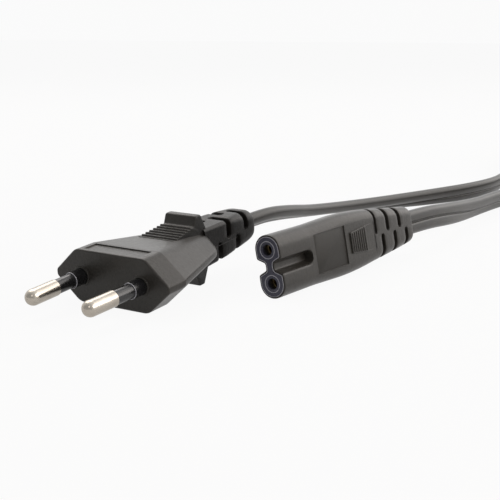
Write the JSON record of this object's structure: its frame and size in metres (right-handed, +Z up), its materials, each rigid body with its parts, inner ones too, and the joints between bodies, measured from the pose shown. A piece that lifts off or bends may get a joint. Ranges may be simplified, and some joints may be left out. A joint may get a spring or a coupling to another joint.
{
  "type": "mains cord with a flat plug and a figure-eight connector",
  "caption": "Mains cord with a flat hexagonal round-pin plug and a figure-eight appliance connector on flat grooved flex, the spare length tied in a hank.",
  "frame": {"origin": "on the table, under the middle of the box round the plug and the connector", "axes": "+Z up from the table, the plug's pins point along -X"},
  "size_m": [0.439, 0.0645, 0.0191],
  "materials": {
    "moulding": "satin",
    "collar": "satin",
    "sleeve": "satin",
    "pin": "polished",
    "contact": "satin",
    "insert": "satin",
    "lead": "satin",
    "flex": "satin",
    "tie": "satin"
  },
  "bodies": {
    "root": {"connector_body": "moulding", "connector_cord": "flex", "connector_insert": "insert", "connector_lead_lower": "lead", "connector_lead_upper": "lead", "contact_lower": "contact", "contact_upper": "contact", "cord_hank": "flex", "cord_tie_left": "tie", "cord_tie_right": "tie", "pin_left": "pin", "pin_right": "pin", "plug_body": "moulding", "plug_carrier": "collar", "plug_cord": "flex", "plug_lead_left": "lead", "plug_lead_right": "lead", "sleeve_left": "sleeve", "sleeve_right": "sleeve"}
  },
  "joints": []
}
